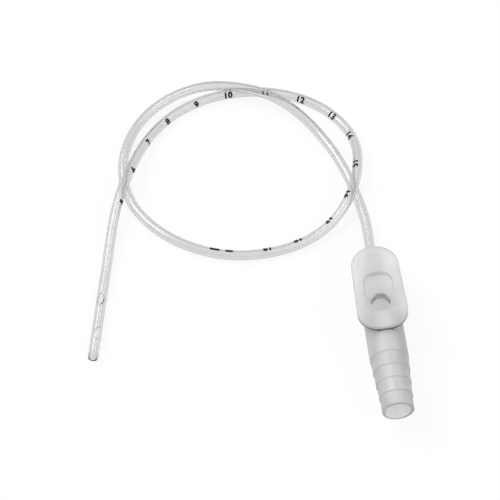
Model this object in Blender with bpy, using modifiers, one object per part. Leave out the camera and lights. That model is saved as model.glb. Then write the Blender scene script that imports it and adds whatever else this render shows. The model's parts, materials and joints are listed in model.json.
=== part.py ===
"""Suction catheter: a clear soft tube bonded into a one-piece thumb-control connector.

The catheter lies on a table as it comes out of its sleeve. The tube makes one loose
overhand loop and passes over itself three times. The connector lies on its barrel and
on the end of its socket, so its mouth is lifted a little.

Metres, +Z up. The connector points along -Y and its box is centred on the origin.
"""
import math

import bmesh
import bpy
import numpy as np
from mathutils import Euler, Vector

MM = 0.001
WELD_DISTANCE = 0.01 * MM

# Catheter tube
TUBE_OD = 2.67 * MM            # 8 French
TUBE_WALL = 0.48 * MM
TUBE_SIDES = 8
TUBE_POINT_SPACING = 4.9 * MM
TIP_ROUND_LENGTH = 0.9 * MM
TIP_END_OD = 2.0 * MM
TIP_ROUND_TURNS = (40, 65, 90)  # degrees round the tip at which it has a point
EYE_LENGTH = 3.4 * MM
EYE_WIDTH = 1.5 * MM
EYE_SIDES = 16
EYE_CUT_REACH = 0.8            # share of the tube's radius that the punch spans each way
UPPER_EYE_FROM_TIP = 17.3 * MM
LOWER_EYE_FROM_TIP = 8.2 * MM
UPPER_EYE_LEAN = math.radians(8.0)
CROSSING_GAP = 0.35 * MM
ROUTE_SAMPLES = 4000

# Connector, turned parts: distances are measured from the mouth along the bore
MOUTH_OD = 8.2 * MM
MOUTH_BORE = 6.6 * MM
MOUTH_BORE_DEPTH = 3.9 * MM
LUMEN_BORE = 6.4 * MM
LUMEN_DEPTH = 32.8 * MM
LUMEN_TAPER_LENGTH = 4.6 * MM
STEP_COUNT = 4
STEP_PITCH = 3.8 * MM
STEP_RISE = 0.24 * MM          # on the radius, at each step away from the mouth
STEP_DRAFT = 0.05 * MM         # each step narrows by this much towards the mouth
MOUTH_CHAMFER = 0.2 * MM
BARREL_LENGTH = 31.0 * MM
SHOULDER_LENGTH = 7.0 * MM
CONNECTOR_LENGTH = 47.5 * MM
SOCKET_OD = 5.8 * MM
SOCKET_DEPTH = 9.0 * MM
BOND_GAP = 0.3 * MM            # clearance between the tube and its socket
TURNED_STEPS = 32

# Connector, thumb plate: heights are measured from the bore's axis
PLATE_FRONT_WIDTH = 13.5 * MM
PLATE_REAR_WIDTH = 12.2 * MM
PLATE_FRONT = 21.3 * MM
PLATE_REAR = 47.2 * MM
PLATE_TOP = 6.7 * MM
PLATE_THICKNESS = 2.0 * MM
PLATE_FRONT_CORNER = 5.5 * MM
PLATE_REAR_CORNER = 6.0 * MM
PLATE_CORNER_STEPS = 7
PLATE_EDGE_ROUND = 0.55 * MM
PLATE_EDGE_STEPS = 3
POCKET_WIDTH = 7.8 * MM
POCKET_FRONT = 26.15 * MM
POCKET_REAR = 38.65 * MM
POCKET_DEPTH = 1.1 * MM
POCKET_CORNER = 3.0 * MM
POCKET_CORNER_STEPS = 5
POCKET_DRAFT = 0.3 * MM        # the pocket's floor is smaller than its rim by this on each side
PORT_DIAMETER = 5.2 * MM
PORT_CENTRE = 30.0 * MM
CHIMNEY_WALL = 0.9 * MM
RIB_WIDTH = 3.2 * MM
RIB_END_MARGIN = 1.6 * MM      # the rib stops this far inside both ends of the plate
ROLL = math.radians(4.6)       # the connector leans to its left as it lies
TURN = math.radians(-0.6)      # and its mouth points a little to the left of -Y

# Route of the tube on the table after it leaves the socket, seen from above, in millimetres
ROUTE = [
    (0.7, 36.3), (-0.4, 44.3), (-2.5, 53.0), (-5.9, 61.9), (-10.6, 69.8), (-17.5, 76.7),
    (-26.4, 81.4), (-36.4, 83.6), (-46.0, 82.7), (-54.4, 78.7), (-60.4, 71.5), (-63.7, 61.1),
    (-62.5, 50.1), (-56.7, 40.8), (-48.2, 34.1), (-37.8, 30.1), (-26.6, 29.5), (-16.1, 32.0),
    (-8.1, 36.6), (-2.4, 44.0), (0.8, 53.7), (0.5, 64.2), (-5.2, 73.8), (-14.6, 79.9),
    (-25.5, 82.5), (-36.5, 81.8), (-46.8, 77.8), (-55.1, 70.3), (-60.7, 60.2), (-65.1, 49.9),
    (-68.0, 40.0), (-70.3, 29.2), (-72.8, 16.6), (-75.5, 2.6),
]

# Places where the tube rides over itself: the distance from the socket along the tube,
# how far it stays up on each side of that place, and the length of each slope down
CROSSINGS = [
    (72.2 * MM, 5.0 * MM, 26.0 * MM),
    (207.1 * MM, 2.0 * MM, 24.0 * MM),
    (310.7 * MM, 2.0 * MM, 24.0 * MM),
]

# Worked out from the sizes above
TUBE_RADIUS = TUBE_OD / 2
BARREL_RADIUS = MOUTH_OD / 2 + STEP_COUNT * STEP_RISE
SOCKET_RADIUS = SOCKET_OD / 2
SOCKET_SHOULDER = CONNECTOR_LENGTH - SOCKET_DEPTH
TUBE_BORE = TUBE_OD - 2 * TUBE_WALL
PLATE_UNDERSIDE = PLATE_TOP - PLATE_THICKNESS
CUT_MARGIN = 2.0 * MM          # how far a cutter reaches past the surface it opens


def clear_scene():
    for obj in list(bpy.data.objects):
        bpy.data.objects.remove(obj, do_unlink=True)


def new_collection(name):
    collection = bpy.data.collections.new(name)
    bpy.context.scene.collection.children.link(collection)
    return collection


def plastic(name, colour, roughness, transmission):
    """A Principled material for one kind of plastic."""
    material = bpy.data.materials.new(name)
    material.use_nodes = True
    shader = material.node_tree.nodes["Principled BSDF"]
    shader.inputs["Base Color"].default_value = (*colour, 1.0)
    shader.inputs["Roughness"].default_value = roughness
    shader.inputs["Metallic"].default_value = 0.0
    shader.inputs["Transmission Weight"].default_value = transmission
    return material


def mesh_object(name, mesh, collection, parent=None):
    obj = bpy.data.objects.new(name, mesh)
    collection.objects.link(obj)
    obj.parent = parent
    return obj


def turned(name, profile, collection, parent):
    """A solid of revolution about Y. The profile holds (radius, y), from rear to front."""
    mesh = bpy.data.meshes.new(name)
    points = [(radius, y, 0.0) for radius, y in profile]
    edges = [(i, i + 1) for i in range(len(points) - 1)]
    mesh.from_pydata(points, edges, [])
    obj = mesh_object(name, mesh, collection, parent)
    screw = obj.modifiers.new("turn", 'SCREW')
    screw.axis = 'Y'
    screw.angle = math.tau
    screw.steps = TURNED_STEPS
    screw.render_steps = TURNED_STEPS
    screw.use_merge_vertices = True
    screw.merge_threshold = WELD_DISTANCE
    screw.use_smooth_shade = True
    return obj


def rounded_outline(front_width, rear_width, front, rear, front_corner, rear_corner, steps):
    """The points of a rounded rectangle in XY, counter-clockwise; its sides may taper."""
    half = (front_width + rear_width) / 4
    middle = (front + rear) / 2
    taper = (rear_width - front_width) / (2 * (rear - front) * half)
    front_corner = min(front_corner, half)
    rear_corner = min(rear_corner, half)
    corners = [
        (half - front_corner, front + front_corner, front_corner, -90),
        (half - rear_corner, rear - rear_corner, rear_corner, 0),
        (-half + rear_corner, rear - rear_corner, rear_corner, 90),
        (-half + front_corner, front + front_corner, front_corner, 180),
    ]
    points = []
    for x, y, radius, start in corners:
        for step in range(steps + 1):
            angle = math.radians(start + 90 * step / steps)
            along = y + radius * math.sin(angle)
            widened = 1.0 + taper * (along - middle)
            points.append(((x + radius * math.cos(angle)) * widened, along))
    return points


def slab(name, outline, bottom, top, collection, parent):
    """A flat solid from a filled 2-D curve, with its thickness from bottom to top."""
    curve = bpy.data.curves.new(name, 'CURVE')
    curve.dimensions = '2D'
    curve.fill_mode = 'BOTH'
    curve.extrude = (top - bottom) / 2
    spline = curve.splines.new('POLY')
    spline.points.add(len(outline) - 1)
    for point, (x, y) in zip(spline.points, outline):
        point.co = (x, y, 0.0, 1.0)
    spline.use_cyclic_u = True
    mesh = mesh_from_curve(curve, name)
    for vertex in mesh.vertices:
        vertex.co.z += (top + bottom) / 2
    return mesh_object(name, mesh, collection, parent)


def mesh_from_curve(curve, name):
    """The welded mesh of a curve; the curve itself is removed."""
    guide = bpy.data.objects.new(name + "_curve", curve)
    bpy.context.scene.collection.objects.link(guide)
    depsgraph = bpy.context.evaluated_depsgraph_get()
    mesh = bpy.data.meshes.new_from_object(guide.evaluated_get(depsgraph))
    mesh.name = name
    bpy.data.objects.remove(guide, do_unlink=True)
    work = bmesh.new()
    work.from_mesh(mesh)
    bmesh.ops.remove_doubles(work, verts=work.verts, dist=WELD_DISTANCE)
    work.to_mesh(mesh)
    work.free()
    return mesh


def round_edges(obj, width, steps):
    bevel = obj.modifiers.new("edge round", 'BEVEL')
    bevel.width = width
    bevel.segments = steps
    bevel.limit_method = 'ANGLE'
    bevel.angle_limit = math.radians(50)


def cylinder(name, radius, depth, centre, collection, parent):
    mesh = bpy.data.meshes.new(name)
    work = bmesh.new()
    bmesh.ops.create_cone(work, cap_ends=True, segments=TURNED_STEPS,
                          radius1=radius, radius2=radius, depth=depth)
    bmesh.ops.translate(work, verts=work.verts, vec=centre)
    work.to_mesh(mesh)
    work.free()
    return mesh_object(name, mesh, collection, parent)


def block(name, size, centre, collection, parent):
    mesh = bpy.data.meshes.new(name)
    work = bmesh.new()
    bmesh.ops.create_cube(work, size=1.0)
    bmesh.ops.scale(work, verts=work.verts, vec=size)
    bmesh.ops.translate(work, verts=work.verts, vec=centre)
    work.to_mesh(mesh)
    work.free()
    return mesh_object(name, mesh, collection, parent)


def combine(body, other, operation):
    """Join another solid to the body, or cut it away. The other one is only a tool."""
    other.hide_render = True
    other.display_type = 'WIRE'
    boolean = body.modifiers.new(other.name, 'BOOLEAN')
    boolean.operation = operation
    boolean.solver = 'EXACT'
    boolean.object = other


def outer_profile():
    """Radius and distance from the mouth of the turned outside, from rear to front."""
    cone_rear = BARREL_LENGTH + SHOULDER_LENGTH
    profile = [
        (0.0, CONNECTOR_LENGTH),
        (SOCKET_RADIUS, CONNECTOR_LENGTH),
        (SOCKET_RADIUS, cone_rear),
        (BARREL_RADIUS, BARREL_LENGTH),
    ]
    radius = BARREL_RADIUS
    for step in range(STEP_COUNT, 0, -1):
        place = step * STEP_PITCH
        profile.append((radius, place))
        radius -= STEP_RISE
        profile.append((radius, place))
        if step > 1:
            profile.append((radius - STEP_DRAFT, place - STEP_PITCH + STEP_DRAFT))
    profile.append((radius, MOUTH_CHAMFER))
    profile.append((radius - MOUTH_CHAMFER, 0.0))
    profile.append((0.0, 0.0))
    return profile


def lumen_profile():
    """The way through, from the socket at the rear to the mouth."""
    taper_rear = LUMEN_DEPTH + LUMEN_TAPER_LENGTH
    return [
        (0.0, CONNECTOR_LENGTH + CUT_MARGIN),
        (TUBE_RADIUS + BOND_GAP, CONNECTOR_LENGTH + CUT_MARGIN),
        (TUBE_RADIUS + BOND_GAP, SOCKET_SHOULDER),
        (TUBE_BORE / 2, SOCKET_SHOULDER),
        (TUBE_BORE / 2, taper_rear),
        (LUMEN_BORE / 2, LUMEN_DEPTH),
        (LUMEN_BORE / 2, MOUTH_BORE_DEPTH),
        (MOUTH_BORE / 2, MOUTH_BORE_DEPTH),
        (MOUTH_BORE / 2, -CUT_MARGIN),
        (0.0, -CUT_MARGIN),
    ]


def pocket_cutter(collection, parent):
    """A rounded block with sloping sides that widens from the pocket's floor upwards."""
    floor = PLATE_TOP - POCKET_DEPTH
    top = PLATE_TOP + CUT_MARGIN
    grow = POCKET_DRAFT * (top - floor) / POCKET_DEPTH
    mesh = bpy.data.meshes.new("pocket_cut")
    work = bmesh.new()
    levels = []
    for height, inset in ((floor, POCKET_DRAFT), (top, POCKET_DRAFT - grow)):
        width = POCKET_WIDTH - 2 * inset
        corner = POCKET_CORNER - inset
        outline = rounded_outline(width, width, POCKET_FRONT + inset, POCKET_REAR - inset,
                                  corner, corner, POCKET_CORNER_STEPS)
        levels.append([work.verts.new((x, y, height)) for x, y in outline])
    low, high = levels
    work.faces.new(reversed(low))
    work.faces.new(high)
    count = len(low)
    for i in range(count):
        after = (i + 1) % count
        work.faces.new((low[i], low[after], high[after], high[i]))
    work.to_mesh(mesh)
    work.free()
    return mesh_object("pocket_cut", mesh, collection, parent)


def make_connector(parts, cutters, pose):
    body = turned("thumb_control_connector", outer_profile(), parts, pose)

    plate = slab("thumb_plate_shape",
                 rounded_outline(PLATE_FRONT_WIDTH, PLATE_REAR_WIDTH, PLATE_FRONT, PLATE_REAR,
                                 PLATE_FRONT_CORNER, PLATE_REAR_CORNER, PLATE_CORNER_STEPS),
                 PLATE_UNDERSIDE, PLATE_TOP, cutters, pose)
    round_edges(plate, PLATE_EDGE_ROUND, PLATE_EDGE_STEPS)

    plate_middle = PLATE_TOP - PLATE_THICKNESS / 2
    chimney = cylinder("chimney_shape", PORT_DIAMETER / 2 + CHIMNEY_WALL, plate_middle,
                       Vector((0.0, PORT_CENTRE, plate_middle / 2)), cutters, pose)

    rib_front = PLATE_FRONT + RIB_END_MARGIN
    rib_rear = PLATE_REAR - RIB_END_MARGIN
    rib_bottom = TUBE_RADIUS + BOND_GAP + (SOCKET_RADIUS - TUBE_RADIUS - BOND_GAP) / 2
    rib = block("rib_shape",
                Vector((RIB_WIDTH, rib_rear - rib_front, plate_middle - rib_bottom)),
                Vector((0.0, (rib_front + rib_rear) / 2, (plate_middle + rib_bottom) / 2)),
                cutters, pose)

    port_top = PLATE_TOP + CUT_MARGIN
    port = cylinder("port_cut", PORT_DIAMETER / 2, port_top,
                    Vector((0.0, PORT_CENTRE, port_top / 2)), cutters, pose)

    lumen = turned("lumen_cut", lumen_profile(), cutters, pose)

    for shape in (plate, chimney, rib):
        combine(body, shape, 'UNION')
    for shape in (port, pocket_cutter(cutters, pose), lumen):
        combine(body, shape, 'DIFFERENCE')
    body.data.materials.append(plastic("milky plastic", (0.86, 0.87, 0.88), 0.35, 0.5))
    return body


def lay_connector(pose, body):
    """Tip the connector onto its barrel and socket, and centre its box on the origin."""
    tilt = math.atan2(BARREL_RADIUS - SOCKET_RADIUS, CONNECTOR_LENGTH - BARREL_LENGTH)
    pose.rotation_mode = 'YXZ'
    pose.rotation_euler = Euler((-tilt, -ROLL, TURN), 'YXZ')
    bpy.context.view_layer.update()
    depsgraph = bpy.context.evaluated_depsgraph_get()
    evaluated = body.evaluated_get(depsgraph)
    corners = [evaluated.matrix_world @ v.co for v in evaluated.data.vertices]
    low = Vector(min(c[axis] for c in corners) for axis in range(3))
    high = Vector(max(c[axis] for c in corners) for axis in range(3))
    pose.location = (-(low.x + high.x) / 2, -(low.y + high.y) / 2, -low.z)
    bpy.context.view_layer.update()


def natural_spline(stations, values, wanted):
    """A natural cubic spline through values at the stations, read at the wanted places."""
    step = np.diff(stations)
    slope = np.diff(values) / step
    count = len(stations)
    matrix = np.eye(count)
    right = np.zeros(count)
    for i in range(1, count - 1):
        matrix[i, i - 1:i + 2] = (step[i - 1], 2 * (step[i - 1] + step[i]), step[i])
        right[i] = 6 * (slope[i] - slope[i - 1])
    bend = np.linalg.solve(matrix, right)
    i = np.clip(np.searchsorted(stations, wanted) - 1, 0, count - 2)
    before = wanted - stations[i]
    after = stations[i + 1] - wanted
    return ((bend[i] * after ** 3 + bend[i + 1] * before ** 3) / (6 * step[i])
            + (values[i] / step[i] - bend[i] * step[i] / 6) * after
            + (values[i + 1] / step[i] - bend[i + 1] * step[i] / 6) * before)


def ride_height(run):
    """Height of the tube over the table due to the strands that it crosses."""
    share = np.zeros_like(run)
    for place, stay, slope in CROSSINGS:
        t = np.clip(1.0 - (np.abs(run - place) - stay) / slope, 0.0, 1.0)
        share = np.maximum(share, t * t * (3.0 - 2.0 * t))
    return share * (TUBE_OD + CROSSING_GAP)


def tube_route(pose):
    """Closely spaced points on the tube's centre line, from its seat to its tip."""
    seat = pose.matrix_world @ Vector((0.0, SOCKET_SHOULDER + BOND_GAP, 0.0))
    leaving = pose.matrix_world @ Vector((0.0, CONNECTOR_LENGTH, 0.0))
    straight = pose.matrix_world @ Vector((0.0, CONNECTOR_LENGTH + 2 * TUBE_OD, 0.0))
    corners = [(point.x, point.y) for point in (seat, leaving, straight)]
    corners += [(x * MM, y * MM) for x, y in ROUTE]
    places = np.array(corners)
    steps = np.hypot(*np.diff(places, axis=0).T)
    stations = np.concatenate([[0.0], np.cumsum(steps)])
    fine = np.linspace(0.0, stations[-1], ROUTE_SAMPLES)
    x = natural_spline(stations, places[:, 0], fine)
    y = natural_spline(stations, places[:, 1], fine)
    run = np.concatenate([[0.0], np.cumsum(np.hypot(np.diff(x), np.diff(y)))])
    run -= (leaving - seat).length

    # The tube leaves along the tilted socket and comes down to the table in a flat curve
    slope = (seat.z - leaving.z) / math.hypot(leaving.x - seat.x, leaving.y - seat.y)
    drop = leaving.z - TUBE_RADIUS
    landing = 2.0 * drop / slope
    outside = TUBE_RADIUS + drop * np.clip(1.0 - run / landing, 0.0, 1.0) ** 2
    inside = leaving.z - slope * run
    z = np.where(run < 0.0, inside, outside) + ride_height(run)
    return np.column_stack([x, y, z])


def tube_points(line):
    """Points for the curve, with the factor by which the tip narrows there."""
    run = np.concatenate([[0.0], np.cumsum(np.linalg.norm(np.diff(line, axis=0), axis=1))])
    body_length = run[-1] - TIP_ROUND_LENGTH
    count = math.ceil(body_length / TUBE_POINT_SPACING)
    stops = [(body_length * i / count, 1.0) for i in range(count + 1)]
    end_factor = TIP_END_OD / TUBE_OD
    for turn in TIP_ROUND_TURNS:
        angle = math.radians(turn)
        along = body_length + TIP_ROUND_LENGTH * math.sin(angle)
        stops.append((along, end_factor + (1.0 - end_factor) * math.cos(angle)))
    places = []
    for distance, factor in stops:
        place = [np.interp(distance, run, line[:, axis]) for axis in range(3)]
        places.append((place, factor))
    return places


def place_on_line(line, from_tip):
    """The point on the tube's centre line at a distance from the tip, and its direction."""
    run = np.concatenate([[0.0], np.cumsum(np.linalg.norm(np.diff(line, axis=0), axis=1))])
    wanted = run[-1] - from_tip
    point = Vector(np.interp(wanted, run, line[:, axis]) for axis in range(3))
    ahead = Vector(np.interp(wanted + TUBE_RADIUS, run, line[:, axis]) for axis in range(3))
    return point, (ahead - point).normalized()


def eye_cutter(name, line, from_tip, lean, collection):
    """An oval punch that opens one wall of the tube; lean is its angle from straight up."""
    point, along = place_on_line(line, from_tip)
    side = along.cross(Vector((0.0, 0.0, 1.0))).normalized()
    up = side.cross(along)
    out = up * math.cos(lean) + side * math.sin(lean)
    across = out.cross(along)
    mesh = bpy.data.meshes.new(name)
    work = bmesh.new()
    bmesh.ops.create_cone(work, cap_ends=True, segments=EYE_SIDES, radius1=0.5,
                          radius2=0.5, depth=2.0)
    for vertex in work.verts:
        x, y, z = vertex.co
        vertex.co = (point + along * (x * EYE_LENGTH) + across * (y * EYE_WIDTH)
                     + out * (TUBE_RADIUS * (1.0 + z * EYE_CUT_REACH)))
    work.to_mesh(mesh)
    work.free()
    return mesh_object(name, mesh, collection)


def make_tube(parts, cutters, pose):
    line = tube_route(pose)
    stops = tube_points(line)
    curve = bpy.data.curves.new("catheter_tube", 'CURVE')
    curve.dimensions = '3D'
    curve.twist_mode = 'Z_UP'
    curve.bevel_depth = TUBE_RADIUS
    curve.bevel_resolution = TUBE_SIDES // 2 - 2
    spline = curve.splines.new('POLY')
    spline.points.add(len(stops) - 1)
    for point, (place, factor) in zip(spline.points, stops):
        point.co = (*place, 1.0)
        point.radius = factor
    tube = mesh_object("catheter_tube", mesh_from_curve(curve, "catheter_tube"), parts)
    tube.data.shade_smooth()

    wall = tube.modifiers.new("wall", 'SOLIDIFY')
    wall.thickness = TUBE_WALL
    wall.offset = -1.0
    wall.use_rim = True

    upper = eye_cutter("upper_eye_cut", line, UPPER_EYE_FROM_TIP, UPPER_EYE_LEAN, cutters)
    lower = eye_cutter("lower_eye_cut", line, LOWER_EYE_FROM_TIP,
                       UPPER_EYE_LEAN + math.pi, cutters)
    combine(tube, upper, 'DIFFERENCE')
    combine(tube, lower, 'DIFFERENCE')
    tube.data.materials.append(plastic("clear soft plastic", (0.88, 0.89, 0.90), 0.12, 0.8))
    return tube


def main():
    clear_scene()
    parts = new_collection("suction_catheter")
    cutters = new_collection("cutters")
    pose = bpy.data.objects.new("connector_pose", None)
    parts.objects.link(pose)
    connector = make_connector(parts, cutters, pose)
    lay_connector(pose, connector)
    make_tube(parts, cutters, pose)


main()
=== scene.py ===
"""Finished look of the suction catheter.

The clear tube and the milky thumb-control connector are modelled as fine meshes in the
place of the frame's plain solids. The printed depth marks, a camera and a plain studio
are added. Metres, +Z up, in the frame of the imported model.
"""
import json
import logging
import math
from dataclasses import dataclass, field
from enum import Enum
from typing import Any, Iterable, Sequence

import bmesh
import bpy
import numpy as np
from mathutils import Matrix, Vector


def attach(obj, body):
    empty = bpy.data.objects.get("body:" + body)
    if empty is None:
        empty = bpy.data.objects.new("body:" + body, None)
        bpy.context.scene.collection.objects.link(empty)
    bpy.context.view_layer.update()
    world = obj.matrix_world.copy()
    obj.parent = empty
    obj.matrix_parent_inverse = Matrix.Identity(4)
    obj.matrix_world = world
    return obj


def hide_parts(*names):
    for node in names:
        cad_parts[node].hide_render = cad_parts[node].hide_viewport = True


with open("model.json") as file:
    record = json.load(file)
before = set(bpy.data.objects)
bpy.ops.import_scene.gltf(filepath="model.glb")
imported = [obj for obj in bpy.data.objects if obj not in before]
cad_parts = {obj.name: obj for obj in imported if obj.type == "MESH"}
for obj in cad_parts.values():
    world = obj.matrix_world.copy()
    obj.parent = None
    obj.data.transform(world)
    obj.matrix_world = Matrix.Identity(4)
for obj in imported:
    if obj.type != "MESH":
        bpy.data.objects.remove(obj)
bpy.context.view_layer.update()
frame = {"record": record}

log = logging.getLogger("suction_catheter")

MM = 0.001
BODY = "root"
WELD_DISTANCE = 0.002 * MM
UP = Vector((0.0, 0.0, 1.0))
AHEAD = Vector((0.0, 1.0, 0.0))

Point2 = tuple[float, float]
Colour = tuple[float, float, float]


class Slot(Enum):
    """The record's material slots."""

    TUBE = "clear_tube"
    CONNECTOR = "milky_connector"


class Node(Enum):
    """The frame's solids."""

    TUBE = "catheter_tube"
    CONNECTOR = "thumb_control_connector"


class Link:
    """A node's output with arithmetic: an expression on it adds the node that it needs."""

    def __init__(self, board: "NodeBoard", socket: bpy.types.NodeSocket) -> None:
        """Wrap a socket of the board's tree."""
        self.board = board
        self.socket = socket

    def __add__(self, other: Any) -> "Link":
        """Sum of two numbers or two vectors."""
        return self.board.maths("ADD", self, other)

    def __sub__(self, other: Any) -> "Link":
        """Difference of two numbers or two vectors."""
        return self.board.maths("SUBTRACT", self, other)

    def __mul__(self, other: Any) -> "Link":
        """Product of two numbers, or a vector times a number."""
        return self.board.maths("MULTIPLY", self, other)

    def __truediv__(self, other: Any) -> "Link":
        """Quotient of two numbers."""
        return self.board.maths("DIVIDE", self, other)

    def __neg__(self) -> "Link":
        """The number with its sign turned."""
        return self.board.maths("MULTIPLY", self, -1.0)

    def __radd__(self, other: Any) -> "Link":
        """Sum with a plain number on the left."""
        return self.board.maths("ADD", other, self)

    def __rsub__(self, other: Any) -> "Link":
        """Difference from a plain number."""
        return self.board.maths("SUBTRACT", other, self)

    def __rmul__(self, other: Any) -> "Link":
        """Product with a plain number on the left."""
        return self.board.maths("MULTIPLY", other, self)

    @property
    def is_vector(self) -> bool:
        """Whether the socket holds a vector."""
        return self.socket.type == "VECTOR"


class NodeBoard:
    """Adds nodes to a shader tree or a geometry tree."""

    def __init__(self, tree: bpy.types.NodeTree) -> None:
        """Work on a tree, which may hold nodes already."""
        self.tree = tree

    def node(self, kind: str, settings: dict[str, Any] | None = None,
             sockets: dict[str | int, Any] | None = None) -> bpy.types.Node:
        """Add a node.

        Args:
            kind: the node's type name.
            settings: its properties, which are set first.
            sockets: a value, a link or a list of links for each input.

        Returns:
            The new node.
        """
        made = self.tree.nodes.new(kind)
        for name, value in (settings or {}).items():
            setattr(made, name, value)
        for key, value in (sockets or {}).items():
            self.feed(made.inputs[key], value)
        return made

    def feed(self, socket: bpy.types.NodeSocket, value: Any) -> None:
        """Set or link one input.

        Args:
            socket: the input.
            value: a plain value, a link, or a list of links for a joined input.
        """
        if isinstance(value, Link):
            self.tree.links.new(value.socket, socket)
        elif isinstance(value, list):
            for one in reversed(value):
                self.tree.links.new(one.socket, socket)
        else:
            socket.default_value = value

    def link(self, kind: str, output: str | int, settings: dict[str, Any] | None = None,
             sockets: dict[str | int, Any] | None = None) -> Link:
        """Add a node as node() does and return one of its outputs, ready for arithmetic."""
        return Link(self, self.node(kind, settings, sockets).outputs[output])

    def maths(self, operation: str, first: Any, second: Any = None) -> Link:
        """Add the Math or Vector Math node for one operation.

        Args:
            operation: the node's operation for numbers.
            first: a link or a plain number.
            second: a link, a plain number or None.

        Returns:
            The result.
        """
        operands = [value for value in (first, second) if value is not None]
        vectors = [isinstance(v, Link) and v.is_vector for v in operands]
        if not any(vectors):
            return self.link("ShaderNodeMath", 0, {"operation": operation},
                             dict(enumerate(operands)))
        if all(vectors):
            return self.link("ShaderNodeVectorMath", 0, {"operation": operation},
                             dict(enumerate(operands)))
        vector, number = operands if vectors[0] else reversed(operands)
        return self.link("ShaderNodeVectorMath", 0, {"operation": "SCALE"},
                         {0: vector, "Scale": number})

    def cross(self, first: Link, second: Any) -> Link:
        """Cross product of two vectors."""
        return self.link("ShaderNodeVectorMath", 0, {"operation": "CROSS_PRODUCT"},
                         {0: first, 1: second})

    def along(self, vector: Link, way: Any) -> Link:
        """How far a vector reaches along a way of length 1."""
        return self.link("ShaderNodeVectorMath", "Value", {"operation": "DOT_PRODUCT"},
                         {0: vector, 1: way})

    def unit(self, vector: Link) -> Link:
        """The vector at length one."""
        return self.link("ShaderNodeVectorMath", 0, {"operation": "NORMALIZE"}, {0: vector})

    def vector(self, x: Any = 0.0, y: Any = 0.0, z: Any = 0.0) -> Link:
        """A vector from three numbers or links."""
        return self.link("ShaderNodeCombineXYZ", 0, sockets={0: x, 1: y, 2: z})

    def axes(self, vector: Link) -> tuple[Link, ...]:
        """A vector's three numbers."""
        parts = self.node("ShaderNodeSeparateXYZ", sockets={0: vector})
        return tuple(Link(self, output) for output in parts.outputs)

    def ramp(self, value: Link, low: float, high: float) -> Link:
        """A number that rises smoothly from 0 to 1 while the value goes from low to high."""
        return self.link("ShaderNodeMapRange", 0, {"interpolation_type": "SMOOTHSTEP"},
                         {"Value": value, "From Min": low, "From Max": high})

    def noise(self, place: Link, scale: float, detail: float) -> Link:
        """Soft random patches: a number around one half for each place."""
        return self.link("ShaderNodeTexNoise", 0, sockets={
            "Vector": place, "Scale": scale, "Detail": detail})

    def bump(self, height: Link, depth: float) -> Link:
        """A normal that shows the height, from 0 to 1, as relief of a depth."""
        return self.link("ShaderNodeBump", 0, sockets={
            "Height": height, "Distance": depth, "Strength": 1.0})

    def blend(self, share: Link, first: Colour, second: Colour) -> Link:
        """A colour between two plain ones: the first at a share of 0."""
        return self.link("ShaderNodeMix", 2, {"data_type": "RGBA"},
                         {0: share, 6: (*first, 1.0), 7: (*second, 1.0)})

    def show(self, name: str, value: Link) -> None:
        """Feed one input of the material's output: Surface or Volume."""
        self.feed(self.tree.nodes["Material Output"].inputs[name], value)


class GeometryRecipe(NodeBoard):
    """A geometry tree with named inputs that turns an object's mesh into another one."""

    def __init__(self, name: str, inputs: dict[str, str]) -> None:
        """Make the tree.

        Args:
            name: the tree's name.
            inputs: the socket type for each named input.
        """
        super().__init__(bpy.data.node_groups.new(name, "GeometryNodeTree"))
        sockets = self.tree.interface
        sockets.new_socket(name="Geometry", in_out="INPUT", socket_type="NodeSocketGeometry")
        for label, kind in inputs.items():
            sockets.new_socket(name=label, in_out="INPUT", socket_type=kind)
        sockets.new_socket(name="Geometry", in_out="OUTPUT", socket_type="NodeSocketGeometry")
        self.entry = self.node("NodeGroupInput")

    def given(self, label: str) -> Link:
        """One of the tree's named inputs."""
        return Link(self, self.entry.outputs[label])

    def position(self) -> Link:
        """Where each point is."""
        return self.link("GeometryNodeInputPosition", 0)

    def join(self, *parts: Link) -> Link:
        """Several geometries as one."""
        return self.link("GeometryNodeJoinGeometry", 0, sockets={0: list(parts)})

    def weld(self, geometry: Link, distance: float) -> Link:
        """A geometry with the points merged that lie within a distance."""
        return self.link("GeometryNodeMergeByDistance", 0, sockets={
            "Geometry": geometry, "Distance": distance})

    def around(self, line: Link, distance: Link, angle: Link, radius: Any) -> Link:
        """Places around a curve that lies on the table.

        Args:
            line: the curve.
            distance: how far along it each place is.
            angle: its angle from straight up, towards the right of the curve's way.
            radius: its distance from the curve.

        Returns:
            The positions.
        """
        sample = self.node("GeometryNodeSampleCurve",
                           {"mode": "LENGTH", "use_all_curves": True},
                           {"Curves": line, "Length": distance})
        centre = Link(self, sample.outputs["Position"])
        ahead = Link(self, sample.outputs["Tangent"])
        side = self.unit(self.cross(ahead, UP))
        over = self.cross(side, ahead)
        outward = over * self.maths("COSINE", angle) + side * self.maths("SINE", angle)
        return centre + outward * radius

    def finish(self, geometry: Link) -> None:
        """End the tree in real geometry.

        Args:
            geometry: what the tree has made.
        """
        real = self.link("GeometryNodeRealizeInstances", 0, sockets={0: geometry})
        made = self.link("GeometryNodeSetMaterial", 0,
                         sockets={"Geometry": real, "Material": self.given("Material")})
        self.node("NodeGroupOutput", sockets={0: made})

    def run(self, piece: bpy.types.Object, values: dict[str, Any]) -> None:
        """Turn the piece's mesh into the tree's result.

        Args:
            piece: the object that holds the starting mesh.
            values: a value for each named input.
        """
        modifier = piece.modifiers.new(self.tree.name, "NODES")
        modifier.node_group = self.tree
        for item in self.tree.interface.items_tree:
            if item.in_out == "INPUT" and item.name in values:
                modifier[item.identifier] = values[item.name]
        piece.update_tag()
        Workbench.bake(piece, modifier)
        piece.data.name = piece.name


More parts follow.
